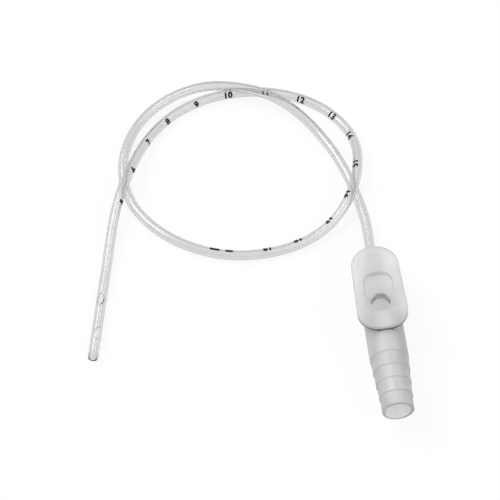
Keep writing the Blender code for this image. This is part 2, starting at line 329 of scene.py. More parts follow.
class Workbench:
    """Small mesh jobs that the pieces share."""

    @staticmethod
    def add(name: str, mesh: bpy.types.Mesh) -> bpy.types.Object:
        """Put a mesh into the scene.

        Args:
            name: the object's name.
            mesh: its mesh.

        Returns:
            The object, at the origin.
        """
        piece = bpy.data.objects.new(name, mesh)
        bpy.context.scene.collection.objects.link(piece)
        return piece

    @staticmethod
    def bake(piece: bpy.types.Object, modifier: bpy.types.Modifier) -> None:
        """Make what a modifier shows the piece's plain mesh.

        Args:
            piece: the piece.
            modifier: its modifier, which is removed.
        """
        depsgraph = bpy.context.evaluated_depsgraph_get()
        mesh = bpy.data.meshes.new_from_object(
            piece.evaluated_get(depsgraph), preserve_all_data_layers=True,
            depsgraph=depsgraph)
        piece.modifiers.remove(modifier)
        piece.data = mesh

    @staticmethod
    def polyline(name: str, points: Iterable[Sequence[float]]) -> bpy.types.Object:
        """An object whose mesh is one row of edges.

        Args:
            name: the object's name.
            points: the places that the row goes through.

        Returns:
            The object.
        """
        places = [tuple(float(value) for value in point) for point in points]
        mesh = bpy.data.meshes.new(name)
        mesh.from_pydata(places, [(i, i + 1) for i in range(len(places) - 1)], [])
        return Workbench.add(name, mesh)

    @staticmethod
    def stacked(name: str, rings: list[list[Vector]]) -> bpy.types.Object:
        """A closed solid through rings of as many points each, with a lid at both ends.

        Args:
            name: the object's name.
            rings: the rings, each running the same way round.

        Returns:
            The object, with its faces pointing out.
        """
        work = bmesh.new()
        levels = [[work.verts.new(point) for point in ring] for ring in rings]
        count = len(levels[0])
        for low, high in zip(levels, levels[1:]):
            for i in range(count):
                after = (i + 1) % count
                work.faces.new((low[i], low[after], high[after], high[i]))
        work.faces.new(list(reversed(levels[0])))
        work.faces.new(levels[-1])
        if work.calc_volume(signed=True) < 0.0:
            bmesh.ops.reverse_faces(work, faces=work.faces)
        mesh = bpy.data.meshes.new(name)
        work.to_mesh(mesh)
        work.free()
        return Workbench.add(name, mesh)

    @staticmethod
    def combine(body: bpy.types.Object, other: bpy.types.Object, operation: str) -> None:
        """Join another solid to the body or cut it away, and remove the other one.

        Args:
            body: the solid that is kept.
            other: the solid that is used up.
            operation: UNION or DIFFERENCE.
        """
        boolean = body.modifiers.new(other.name, "BOOLEAN")
        boolean.operation = operation
        boolean.solver = "EXACT"
        boolean.object = other
        Workbench.bake(body, boolean)
        bpy.data.objects.remove(other, do_unlink=True)

    @staticmethod
    def smooth(piece: bpy.types.Object, sharp_angle: float) -> None:
        """Shade a piece smoothly except where faces meet at more than an angle."""
        piece.data.shade_smooth()
        piece.data.set_sharp_from_angle(angle=sharp_angle)

    @staticmethod
    def report(piece: bpy.types.Object) -> None:
        """Log how many triangles a piece has and whether its mesh is closed.

        Args:
            piece: the finished piece.
        """
        work = bmesh.new()
        work.from_mesh(piece.data)
        open_edges = sum(1 for edge in work.edges if not edge.is_manifold)
        triangles = sum(len(face.verts) - 2 for face in work.faces)
        volume = work.calc_volume(signed=True) / MM ** 3
        work.free()
        log.info("%s: %d triangles, %d open edges, %.1f cubic mm",
                 piece.name, triangles, open_edges, volume)


def rounded_path(corners: Sequence[tuple[float, float, float]], steps: int = 5) -> list[Point2]:
    """A row of straight stretches with its corners rounded.

    Args:
        corners: the two coordinates and the rounding radius of each corner.
        steps: how many chords a rounding has.

    Returns:
        The points of the rounded row.
    """
    points: list[Point2] = []
    for index, (x, y, radius) in enumerate(corners):
        here = Vector((x, y))
        if radius <= 0.0 or index in (0, len(corners) - 1):
            points.append((x, y))
            continue
        back = (Vector(corners[index - 1][:2]) - here).normalized()
        onward = (Vector(corners[index + 1][:2]) - here).normalized()
        half_angle = back.angle(onward) / 2
        centre = here + (back + onward).normalized() * (radius / math.sin(half_angle))
        start = here + back * (radius / math.tan(half_angle)) - centre
        sweep = math.pi - 2 * half_angle
        turn = 1.0 if back.x * onward.y - back.y * onward.x < 0.0 else -1.0
        for step in range(steps + 1):
            spot = centre + Matrix.Rotation(turn * sweep * step / steps, 2) @ start
            points.append((spot.x, spot.y))
    return points


@dataclass(frozen=True)
class Pose:
    """Where the connector lies: its own frame has Y along the bore and Z out of the plate."""

    mouth_mount_depth: float = 3.60 * MM    # from the bore's axis down to the mouth's mount

    def matrix(self) -> Matrix:
        """Work out the connector's place.

        Returns:
            The place, from the two mounts of the frame's record.
        """
        mounts = {mount["name"]: mount for mount in frame["record"]["mounts"]}
        bore = -Vector(mounts["suction_end"]["axis"]).normalized()
        normal = Vector(mounts["thumb_pad"]["axis"]).normalized()
        across = bore.cross(normal)
        mouth = Vector(mounts["suction_end"]["pos_m"]) + normal * self.mouth_mount_depth
        turned = Matrix((across, bore, normal)).transposed().to_4x4()
        return Matrix.Translation(mouth) @ turned


@dataclass(frozen=True)
class Finish:
    """What every finish has."""

    name: str
    colour: Colour
    roughness: float

    def start(self) -> tuple[NodeBoard, bpy.types.Material, bpy.types.Node]:
        """Begin the material.

        Returns:
            A board for its nodes, the material and its Principled shader.
        """
        material = bpy.data.materials.new(self.name)
        material.use_nodes = True
        shader = material.node_tree.nodes["Principled BSDF"]
        shader.inputs["Base Color"].default_value = (*self.colour, 1.0)
        shader.inputs["Roughness"].default_value = self.roughness
        shader.inputs["Metallic"].default_value = 0.0
        return NodeBoard(material.node_tree), material, shader


@dataclass(frozen=True)
class ClearVinyl(Finish):
    """Clear soft tube plastic with faint extrusion streaks and a frosted tip."""

    name: str = "clear_soft_vinyl"
    colour: Colour = (0.985, 0.985, 0.985)
    roughness: float = 0.11
    refraction: float = 1.53
    soaked_colour: Colour = (0.32, 0.33, 0.36)
    soaked_density: float = 340.0
    frost_roughness: float = 0.30
    frost_full: float = 1.32 * MM       # the frost is whole up to here from the tip
    frost_length: float = 2.2 * MM      # and ends here
    streak_depth: float = 0.003 * MM
    streaks_round: float = 7.0
    streak_length: float = 60.0 * MM
    haze_fineness: float = 3.0          # the haze's patches are this much finer than streaks
    haze_share: float = 0.6             # how far the haze changes the roughness

    def material(self) -> bpy.types.Material:
        """Build the material.

        Returns:
            The material; it reads the piece's UV map for the way round and along.
        """
        board, material, shader = self.start()
        shader.inputs["Transmission Weight"].default_value = 1.0
        shader.inputs["IOR"].default_value = self.refraction
        round_it, along, _ = board.axes(board.link("ShaderNodeUVMap", 0, {"uv_map": "along"}))
        turn = round_it * math.tau
        ring = board.vector(board.maths("COSINE", turn) * self.streaks_round,
                            board.maths("SINE", turn) * self.streaks_round,
                            along / self.streak_length)
        haze = board.noise(ring, self.haze_fineness, 3.0)
        frost = 1.0 - board.ramp(along, self.frost_full, self.frost_length)
        rough = (self.roughness * (1.0 - self.haze_share / 2 + self.haze_share * haze)
                 + frost * (self.frost_roughness - self.roughness))
        board.feed(shader.inputs["Roughness"], rough)
        board.feed(shader.inputs["Normal"],
                   board.bump(board.noise(ring, 1.0, 2.0), self.streak_depth))
        board.show("Volume", board.link("ShaderNodeVolumeAbsorption", 0, sockets={
            "Color": (*self.soaked_colour, 1.0), "Density": self.soaked_density}))
        return material


@dataclass(frozen=True)
class MilkyPlastic(Finish):
    """Translucent moulded plastic, cloudy inside, with a faintly uneven satin surface, and
    painted shade on its thumb plate.
    """

    name: str = "milky_moulded_plastic"
    colour: Colour = (0.979, 0.980, 0.984)
    roughness: float = 0.33
    refraction: float = 1.50
    clearness: float = 0.69
    plate_clearness: float = 0.44
    scatter: Colour = (2.0 * MM, 2.0 * MM, 2.1 * MM)
    grain_size: float = 0.55 * MM
    grain_depth: float = 0.006 * MM
    cloud_size: float = 7.0 * MM
    cloud_span: tuple[float, float] = (0.35, 0.65)
    cloud_shade: float = 0.035
    cloud_gloss: float = 0.3            # how far the clouds change the roughness
    # Painted shade, as factors on the colour: on the plate's top, darker at its front than at its
    # rear;
    # on the floor of its pocket, a level of its own; and on the lowest edge of its front, much
    # darker
    front_painted_shade: float = 0.85
    rear_painted_shade: float = 0.945
    rear_span: tuple[float, float] = (0.4, 0.9)     # shares of the plate's length
    # Painted shade on the pocket's floor and on the plate below that level
    floor_painted_shade: float = 0.942
    floor_span: tuple[float, float] = (1.1 * MM, 1.65 * MM)     # from floor up to plate
    # Painted shade on the lowest edge of the plate's front, darkening its colour
    rim_painted_shade: float = 0.2
    rim_dark: float = 0.6               # this share of the rim is wholly dark
    rim_height: float = 1.3 * MM
    rim_length: float = 5.5 * MM
    # Where the plate is: its underside's level along its normal, and its front's place along
    # the bore
    plate_normal: Vector = UP
    plate_level: float = 0.0
    bore_way: Vector = AHEAD
    plate_start: float = 0.0
    plate_length: float = 25.9 * MM
    under_blend: float = 0.2 * MM
    front_blend: float = 0.08 * MM

    def plate_painted_shade(self, board: NodeBoard, height: Link, behind: Link) -> Link:
        """How far painted shade darkens the plate's colour.

        Args:
            board: the material's board.
            height: how far a place is over the plate's underside.
            behind: how far it is behind the plate's front.

        Returns:
            The factor on the colour.
        """
        # Painted shade on the lowest edge of the front: full below a share of the rim's height
        # and length
        off_rim = board.maths(
            "MAXIMUM",
            board.ramp(height, self.rim_dark * self.rim_height, self.rim_height),
            board.ramp(behind, self.rim_dark * self.rim_length, self.rim_length))
        # Painted shade: the top darker at the plate's front than at its rear, the pocket's floor
        # at a level of its own
        on_top = board.ramp(height, *self.floor_span)
        at_rear = board.ramp(behind, *(part * self.plate_length for part in self.rear_span))
        top_painted_shade = self.front_painted_shade + (self.rear_painted_shade - self.front_painted_shade) * at_rear
        return ((self.floor_painted_shade + (top_painted_shade - self.floor_painted_shade) * on_top)
                * (self.rim_painted_shade + (1.0 - self.rim_painted_shade) * off_rim))

    def material(self) -> bpy.types.Material:
        """Build the material.

        Returns:
            The material; its patterns follow the piece's object coordinates.
        """
        board, material, barrel = self.start()
        plate = board.node("ShaderNodeBsdfPrincipled")
        place = board.link("ShaderNodeTexCoord", "Object")
        grain = board.noise(place, 1.0 / self.grain_size, 2.0)
        cloud = board.noise(place, 1.0 / self.cloud_size, 3.0)
        shaded = tuple(channel * (1.0 - self.cloud_shade) for channel in self.colour)
        tint = board.blend(board.ramp(cloud, *self.cloud_span), self.colour, shaded)
        height = board.along(place, self.plate_normal) - self.plate_level
        behind = board.along(place, self.bore_way) - self.plate_start
        # The plate's colour with the painted shade on it
        painted_shade_colour = board.link("ShaderNodeVectorMath", 0, {"operation": "SCALE"}, {
            0: tint, "Scale": self.plate_painted_shade(board, height, behind)})
        shared = {
            "Roughness": self.roughness * (1.0 - self.cloud_gloss / 2 + self.cloud_gloss * cloud),
            "Normal": board.bump(grain, self.grain_depth), "IOR": self.refraction,
            "Subsurface Weight": 1.0, "Subsurface Radius": self.scatter,
            "Subsurface Scale": 1.0}
        # The plate's copy of the shader has less clearness and carries the painted shade in its
        # colour
        for shader, clearness, colour in ((barrel, self.clearness, tint),
                                          (plate, self.plate_clearness, painted_shade_colour)):
            own = {"Base Color": colour, "Transmission Weight": clearness}
            for name, value in (shared | own).items():
                board.feed(shader.inputs[name], value)
        share = (board.ramp(height, -self.under_blend, 0.0)
                 * board.ramp(behind, -self.front_blend, 0.0))
        board.show("Surface", board.link("ShaderNodeMixShader", 0, sockets={
            0: share, 1: Link(board, barrel.outputs[0]), 2: Link(board, plate.outputs[0])}))
        return material


@dataclass(frozen=True)
class PrintInk(Finish):
    """Blue-black printing ink, a little thinner in places."""

    name: str = "blue_black_ink"
    colour: Colour = (0.004, 0.004, 0.014)
    roughness: float = 0.6
    thin_colour: Colour = (0.018, 0.018, 0.045)
    patch_size: float = 0.35 * MM
    patch_span: tuple[float, float] = (0.5, 0.7)
    patch_gloss: float = 0.2            # how far the patches change the roughness

    def material(self) -> bpy.types.Material:
        """Build the material.

        Returns:
            The material; its patches follow the piece's object coordinates.
        """
        board, material, shader = self.start()
        patch = board.noise(board.link("ShaderNodeTexCoord", "Object"),
                            1.0 / self.patch_size, 2.0)
        tint = board.blend(board.ramp(patch, *self.patch_span), self.colour, self.thin_colour)
        board.feed(shader.inputs["Base Color"], tint)
        board.feed(shader.inputs["Roughness"], self.roughness + self.patch_gloss * patch)
        return material


# Route of the tube on the table after it leaves the socket, seen from above, in millimetres
ROUTE: list[Point2] = [
    (0.7, 36.3), (-0.4, 44.3), (-2.5, 53.0), (-5.9, 61.9), (-10.6, 69.8), (-17.5, 76.7),
    (-26.4, 81.4), (-36.4, 83.6), (-46.0, 82.7), (-54.4, 78.7), (-60.4, 71.5), (-63.7, 61.1),
    (-62.5, 50.1), (-56.7, 40.8), (-48.2, 34.1), (-37.8, 30.1), (-26.6, 29.5), (-16.1, 32.0),
    (-8.1, 36.6), (-2.4, 44.0), (0.8, 53.7), (0.5, 64.2), (-5.2, 73.8), (-14.6, 79.9),
    (-25.5, 82.5), (-36.5, 81.8), (-46.8, 77.8), (-55.1, 70.3), (-60.7, 60.2), (-65.1, 49.9),
    (-68.0, 40.0), (-70.3, 29.2), (-72.8, 16.6), (-75.5, 2.6),
]


@dataclass(frozen=True)
class Crossing:
    """A place where the tube rides over itself, measured from the socket along the tube."""

    place: float
    stay: float
    slope: float

    def share(self, run: np.ndarray) -> np.ndarray:
        """How far up the tube is at each distance, from 0 on the table to 1 on the strand."""
        t = np.clip(1.0 - (np.abs(run - self.place) - self.stay) / self.slope, 0.0, 1.0)
        return t * t * (3.0 - 2.0 * t)


@dataclass
class TubeRoute:
    """The tube's centre line from its seat in the socket to its tip."""

    tube_diameter: float
    leaving: float                      # from the mouth to the socket's end, along the bore
    seat: float                         # from the mouth to the tube's end in the socket
    crossing_gap: float = 0.35 * MM
    crossings: tuple[Crossing, ...] = (
        Crossing(72.2 * MM, 5.0 * MM, 26.0 * MM),
        Crossing(207.1 * MM, 2.0 * MM, 24.0 * MM),
        Crossing(310.7 * MM, 2.0 * MM, 24.0 * MM),
    )
    samples: int = 4000

    @staticmethod
    def spline(stations: np.ndarray, values: np.ndarray, wanted: np.ndarray) -> np.ndarray:
        """A natural cubic spline.

        Args:
            stations: where the values are known.
            values: the known values.
            wanted: where the spline is read.

        Returns:
            The values at the wanted places.
        """
        step = np.diff(stations)
        slope = np.diff(values) / step
        count = len(stations)
        matrix = np.eye(count)
        right = np.zeros(count)
        for i in range(1, count - 1):
            matrix[i, i - 1:i + 2] = (step[i - 1], 2 * (step[i - 1] + step[i]), step[i])
            right[i] = 6 * (slope[i] - slope[i - 1])
        bend = np.linalg.solve(matrix, right)
        i = np.clip(np.searchsorted(stations, wanted) - 1, 0, count - 2)
        before = wanted - stations[i]
        after = stations[i + 1] - wanted
        return ((bend[i] * after ** 3 + bend[i + 1] * before ** 3) / (6 * step[i])
                + (values[i] / step[i] - bend[i] * step[i] / 6) * after
                + (values[i + 1] / step[i] - bend[i + 1] * step[i] / 6) * before)

    def line(self, pose: Matrix) -> np.ndarray:
        """Closely spaced points on the centre line.

        Args:
            pose: the connector's place.

        Returns:
            One row for each point, from the seat to the tip.
        """
        ahead = 2 * self.tube_diameter
        seat, leaving, straight = (
            pose @ Vector((0.0, along, 0.0))
            for along in (self.seat, self.leaving, self.leaving + ahead))
        corners = [(point.x, point.y) for point in (seat, leaving, straight)]
        corners += [(x * MM, y * MM) for x, y in ROUTE]
        places = np.array(corners)
        steps = np.hypot(*np.diff(places, axis=0).T)
        stations = np.concatenate([[0.0], np.cumsum(steps)])
        fine = np.linspace(0.0, stations[-1], self.samples)
        x = self.spline(stations, places[:, 0], fine)
        y = self.spline(stations, places[:, 1], fine)
        run = np.concatenate([[0.0], np.cumsum(np.hypot(np.diff(x), np.diff(y)))])
        run -= (leaving - seat).length

        # Inside the socket the tube follows the bore; outside it eases down to the table
        radius = self.tube_diameter / 2
        slope = (seat.z - leaving.z) / math.hypot(leaving.x - seat.x, leaving.y - seat.y)
        drop = leaving.z - radius
        landing = 2.0 * drop / slope
        outside = radius + drop * np.clip(1.0 - run / landing, 0.0, 1.0) ** 2
        inside = leaving.z - slope * run
        share = np.max([crossing.share(run) for crossing in self.crossings], axis=0)
        lift = share * (self.tube_diameter + self.crossing_gap)
        return np.column_stack([x, y, np.where(run < 0.0, inside, outside) + lift])


def length_of(line: np.ndarray) -> float:
    """The length of a row of points."""
    return float(np.linalg.norm(np.diff(line, axis=0), axis=1).sum())


@dataclass
class CatheterTube:
    """The clear tube: a hollow wall swept along its route, with a round tip and two eyes."""

    pose: Matrix
    diameter: float = 2.67 * MM
    wall: float = 0.48 * MM
    tip_round: float = 0.9 * MM
    tip_diameter: float = 2.0 * MM
    tip_bore: float = 1.24 * MM
    tip_lip: float = 0.12 * MM
    nose_steps: int = 5
    eye_length: float = 3.4 * MM
    eye_width: float = 1.5 * MM
    upper_eye: float = 17.3 * MM
    lower_eye: float = 8.2 * MM
    eye_lean: float = math.radians(8.0)
    punch_reach: tuple[float, float] = (0.2, 1.8)   # from the centre line, in outer radii
    sides: int = 32
    ring_spacing: float = 0.42 * MM
    sharp_angle: float = math.radians(45.0)
    path_step: int = 4                  # every so many points of the line go to the cord
    leaving: float = 47.5 * MM
    seat: float = 38.8 * MM
    line: np.ndarray = field(init=False)

    def __post_init__(self) -> None:
        """Work out the centre line, from the tip to the seat."""
        route = TubeRoute(self.diameter, self.leaving, self.seat)
        self.line = route.line(self.pose)[::-1]

    @property
    def radius(self) -> float:
        """Outer radius."""
        return self.diameter / 2

    @property
    def bore_radius(self) -> float:
        """Inner radius."""
        return self.radius - self.wall

    def section(self) -> list[Point2]:
        """Outline the tube's wall.

        Returns:
            Distance from the tip and radius of each point, once round and closed.
        """
        length = length_of(self.line)
        rings = math.ceil((length - self.tip_round) / self.ring_spacing)
        stops = np.linspace(length, self.tip_round, rings + 1)
        outer = [(float(stop), self.radius) for stop in stops]
        end = self.tip_diameter / 2
        bore_end = self.tip_bore / 2
        turns = [math.radians(90.0 * step / self.nose_steps)
                 for step in range(1, self.nose_steps + 1)]
        nose = [(self.tip_round * (1.0 - math.sin(turn)),
                 end + (self.radius - end) * math.cos(turn)) for turn in turns]
        throat = [(self.tip_lip + self.tip_round * (1.0 - math.sin(turn)),
                   bore_end + (self.bore_radius - bore_end) * math.cos(turn))
                  for turn in reversed(turns)]
        inner = [(float(stop) + (self.tip_lip if i == 0 else 0.0), self.bore_radius)
                 for i, stop in enumerate(stops[::-1])]
        return [*outer, *nose, *throat, *inner, outer[0]]

    def sweep(self) -> GeometryRecipe:
        """Build the geometry tree that lays the section round the centre line.

        Returns:
            The tree. It bends a flat grid of section points by sides into the tube.
        """
        recipe = GeometryRecipe("swept_tube", {
            "Section": "NodeSocketObject", "Section Points": "NodeSocketInt",
            "Sides": "NodeSocketInt", "Material": "NodeSocketMaterial"})
        line = recipe.link("GeometryNodeMeshToCurve", 0, sockets={0: recipe.given("Geometry")})
        points, sides = recipe.given("Section Points"), recipe.given("Sides")
        grid = recipe.node("GeometryNodeMeshGrid", sockets={
            "Size X": points - 1.0, "Size Y": 1.0, "Vertices X": points,
            "Vertices Y": sides + 1.0})
        x, y, _ = recipe.axes(recipe.position())
        index = recipe.maths("ROUND", x + (points - 1.0) / 2.0)
        turn = y + 0.5
        section = recipe.link("GeometryNodeObjectInfo", "Geometry",
                              sockets={"Object": recipe.given("Section")})
        sample = recipe.link("GeometryNodeSampleIndex", 0, {"data_type": "FLOAT_VECTOR"}, {
            "Geometry": section, "Value": recipe.position(), "Index": index})
        distance, radius, _ = recipe.axes(sample)
        mapped = recipe.link("GeometryNodeStoreNamedAttribute", 0,
                             {"data_type": "FLOAT2", "domain": "CORNER"}, {
                                 "Geometry": Link(recipe, grid.outputs[0]), "Name": "along",
                                 "Value": recipe.vector(turn, distance)})
        placed = recipe.link("GeometryNodeSetPosition", 0, sockets={
            "Geometry": mapped,
            "Position": recipe.around(line, distance, turn * math.tau, radius)})
        recipe.finish(recipe.weld(placed, WELD_DISTANCE))
        return recipe

    def frame_at(self, from_tip: float) -> tuple[Vector, Vector, Vector, Vector]:
        """Read the centre line.

        Args:
            from_tip: a distance from the tip along it.

        Returns:
            The point there, and the ways ahead, to the right and up.
        """
        run = np.concatenate([[0.0], np.cumsum(
            np.linalg.norm(np.diff(self.line, axis=0), axis=1))])

        def read(distance: float) -> Vector:
            """The point at a distance from the tip."""
            return Vector([np.interp(distance, run, self.line[:, axis]) for axis in range(3)])

        point = read(from_tip)
        ahead = (read(from_tip + self.radius) - point).normalized()
        right = ahead.cross(UP).normalized()
        return point, ahead, right, right.cross(ahead)

    def punch(self, tube: bpy.types.Object, from_tip: float, lean: float) -> None:
        """Open an oval eye in one wall.

        Args:
            tube: the hollow tube.
            from_tip: the eye's distance from the tip.
            lean: its angle from straight up, towards the left of the way from the tip.
        """
        point, ahead, right, over = self.frame_at(from_tip)
        out = over * math.cos(lean) - right * math.sin(lean)
        across = out.cross(ahead)
        turns = [math.tau * step / self.sides for step in range(self.sides)]
        rings = [[point + out * (reach * self.radius)
                  + ahead * (math.cos(turn) * self.eye_length / 2)
                  + across * (math.sin(turn) * self.eye_width / 2) for turn in turns]
                 for reach in self.punch_reach]
        Workbench.combine(tube, Workbench.stacked("eye_punch", rings), "DIFFERENCE")

    def build(self) -> bpy.types.Object:
        """Make the tube's fine mesh and dress it.

        Returns:
            The tube, in its place.
        """
        tube = Workbench.polyline("clear_catheter_tube", self.line)
        section = self.section()
        guide = Workbench.polyline("tube_section", [(a, b, 0.0) for a, b in section])
        material = ClearVinyl().material()
        self.sweep().run(tube, {"Section": guide, "Section Points": len(section),
                                "Sides": self.sides, "Material": material})
        bpy.data.objects.remove(guide, do_unlink=True)
        self.punch(tube, self.upper_eye, self.eye_lean)
        self.punch(tube, self.lower_eye, self.eye_lean + math.pi)
        Workbench.smooth(tube, self.sharp_angle)
        Workbench.report(tube)
        return tube

    def declare(self, tube: bpy.types.Object) -> None:
        """Hang the tube on the body and hide the frame's plain tube that it replaces.

        Args:
            tube: the finished tube.
        """
        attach(tube, BODY)
        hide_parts(Node.TUBE.value)
        length_of(self.line)


@dataclass
class DepthMarks:
    """Printed centimetre numbers, and two plain dashes past the last of them."""

    tube: CatheterTube
    # Each number with its distance from the tip in millimetres and its lean from straight
    # up in degrees; then each dash with its distance, its lean and its length
    numbers: tuple[tuple[int, float, float], ...] = (
        (5, 46.7, 64.0), (6, 57.3, 50.0), (7, 68.3, 44.0), (8, 78.1, 42.0), (9, 88.4, 48.0),
        (10, 98.1, 45.0), (11, 109.1, 43.0), (12, 119.5, 40.0), (13, 130.3, 30.0),
        (14, 139.6, 34.0), (15, 150.7, 32.0), (16, 160.9, 42.0), (17, 170.3, 41.0),
        (18, 180.9, 38.0), (19, 189.8, 33.0))
    dashes: tuple[tuple[float, float, float], ...] = ((200.4, 25.0, 2.1), (204.4, 24.0, 2.7))
    digit_height: float = 1.75 * MM
    font_cap_share: float = 0.69        # a digit's height as a share of the font's size
    digit_squeeze: float = 0.95
    digit_spacing: float = 1.12
    digit_drop: float = 0.25 * MM       # a digit's middle is this far over the font's middle
    boldness: float = 0.15 * MM         # a bead of ink along each outline, to both sides
    bead_sides: int = 6
    outline_spacing: float = 0.08 * MM
    lift: float = 0.012 * MM
    ink_thickness: float = 0.030 * MM
    dash_height: float = 0.9 * MM
    dash_columns: int = 4
    subdivisions: int = 1

    def digits(self, recipe: GeometryRecipe) -> Link:
        """Write the numbers on the unrolled tube.

        Args:
            recipe: the marks' geometry tree.

        Returns:
            The numbers' outlines: X is along the tube and Y is round it.
        """
        entry = recipe.node("GeometryNodeRepeatInput")
        leave = recipe.node("GeometryNodeRepeatOutput")
        entry.pair_with_output(leave)
        recipe.feed(entry.inputs["Iterations"], recipe.given("Count"))
        table = recipe.link("GeometryNodeObjectInfo", "Geometry",
                            sockets={"Object": recipe.given("Numbers")})
        row = recipe.link("GeometryNodeSampleIndex", 0, {"data_type": "FLOAT_VECTOR"}, {
            "Geometry": table, "Value": recipe.position(),
            "Index": Link(recipe, entry.outputs["Iteration"])})
        along, round_it, number = recipe.axes(row)
        text = recipe.link("FunctionNodeValueToString", 0, sockets={"Value": number})
        curves = recipe.link("GeometryNodeStringToCurves", "Curve Instances",
                             {"align_x": "CENTER", "align_y": "MIDDLE"},
                             {"String": text, "Size": recipe.given("Font Size"),
                              "Character Spacing": recipe.given("Character Spacing")})
        real = recipe.link("GeometryNodeRealizeInstances", 0, sockets={0: curves})
        outline = recipe.link("GeometryNodeResampleCurve", 0, {"mode": "LENGTH"}, {
            0: real, "Length": recipe.given("Outline Spacing")})
        moved = recipe.link("GeometryNodeTransform", 0, sockets={
            "Geometry": outline, "Translation": recipe.vector(along, round_it),
            "Scale": recipe.vector(recipe.given("Squeeze"), 1.0, 1.0)})
        recipe.feed(leave.inputs["Geometry"],
                    recipe.join(Link(recipe, entry.outputs["Geometry"]), moved))
        return Link(recipe, leave.outputs["Geometry"])

    def bars(self, recipe: GeometryRecipe) -> list[Link]:
        """Draw the dashes on the unrolled tube.

        Args:
            recipe: the marks' geometry tree.

        Returns:
            One flat mesh for each dash.
        """
        made = []
        for along, lean, length in self.dashes:
            bar = recipe.link("GeometryNodeMeshGrid", 0, sockets={
                "Size X": length * MM, "Size Y": recipe.given("Dash Height"),
                "Vertices X": self.dash_columns, "Vertices Y": 2})
            made.append(recipe.link("GeometryNodeTransform", 0, sockets={
                "Geometry": bar, "Translation": (along * MM, self.round_the_tube(lean), 0.0)}))
        return made

    def recipe(self) -> GeometryRecipe:
        """Build the geometry tree that prints the marks on the tube.

        Returns:
            The tree. It makes them flat and thin, and then bends them round the tube.
        """
        recipe = GeometryRecipe("depth_marks", {
            "Numbers": "NodeSocketObject", "Count": "NodeSocketInt",
            "Font Size": "NodeSocketFloat", "Character Spacing": "NodeSocketFloat",
            "Squeeze": "NodeSocketFloat", "Boldness": "NodeSocketFloat",
            "Bead Sides": "NodeSocketInt", "Outline Spacing": "NodeSocketFloat",
            "Dash Height": "NodeSocketFloat", "Tube Radius": "NodeSocketFloat",
            "Lift": "NodeSocketFloat", "Thickness": "NodeSocketFloat",
            "Subdivisions": "NodeSocketInt", "Material": "NodeSocketMaterial"})
        thickness, boldness = recipe.given("Thickness"), recipe.given("Boldness")
        line = recipe.link("GeometryNodeMeshToCurve", 0, sockets={0: recipe.given("Geometry")})
        outlines = self.digits(recipe)

        # Flat faces of the digits and dashes, given a thickness
        filled = recipe.link("GeometryNodeFillCurve", 0, {"mode": "TRIANGLES"}, {0: outlines})
        welded = recipe.weld(recipe.join(filled, *self.bars(recipe)), WELD_DISTANCE / 2)
        fine = recipe.link("GeometryNodeSubdivideMesh", 0, sockets={
            "Mesh": welded, "Level": recipe.given("Subdivisions")})
        raised = recipe.link("GeometryNodeExtrudeMesh", "Mesh", {"mode": "FACES"}, {
            "Mesh": fine, "Offset": recipe.vector(z=thickness), "Offset Scale": 1.0,
            "Individual": False})
        under = recipe.link("GeometryNodeFlipFaces", 0, sockets={0: fine})
        solid = recipe.weld(recipe.join(raised, under), WELD_DISTANCE / 2)

        # Beads of ink along the outlines make the digits bold; they are pressed as thin
        bead = recipe.link("GeometryNodeCurvePrimitiveCircle", 0, sockets={
            "Resolution": recipe.given("Bead Sides"), "Radius": boldness})
        beads = recipe.link("GeometryNodeCurveToMesh", 0, sockets={
            "Curve": outlines, "Profile Curve": bead})
        pressed = recipe.link("GeometryNodeTransform", 0, sockets={
            "Geometry": beads, "Translation": recipe.vector(z=thickness / 2.0),
            "Scale": recipe.vector(1.0, 1.0, thickness / (boldness * 2.0))})

        x, y, z = recipe.axes(recipe.position())
        radius = recipe.given("Tube Radius")
        printed = recipe.link("GeometryNodeSetPosition", 0, sockets={
            "Geometry": recipe.join(solid, pressed),
            "Position": recipe.around(line, x, -y / radius,
                                      radius + recipe.given("Lift") + z)})
        recipe.finish(printed)
        return recipe

    def round_the_tube(self, lean: float) -> float:
        """How far round the tube a lean in degrees is, from straight up."""
        return -math.radians(lean) * self.tube.radius

    def build(self) -> bpy.types.Object:
        """Make the marks.

        Returns:
            All of them as one plain mesh on the tube.
        """
        marks = Workbench.polyline("printed_depth_marks", self.tube.line)
        rows = [(along * MM, self.round_the_tube(lean) - self.digit_drop, number)
                for number, along, lean in self.numbers]
        table = Workbench.polyline("number_table", rows)
        self.recipe().run(marks, {
            "Numbers": table, "Count": len(rows),
            "Font Size": self.digit_height / self.font_cap_share,
            "Character Spacing": self.digit_spacing, "Squeeze": self.digit_squeeze,
            "Boldness": self.boldness, "Bead Sides": self.bead_sides,
            "Outline Spacing": self.outline_spacing, "Dash Height": self.dash_height,
            "Tube Radius": self.tube.radius, "Lift": self.lift,
            "Thickness": self.ink_thickness, "Subdivisions": self.subdivisions,
            "Material": PrintInk().material()})
        bpy.data.objects.remove(table, do_unlink=True)
        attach(marks, BODY)
        Workbench.report(marks)
        return marks


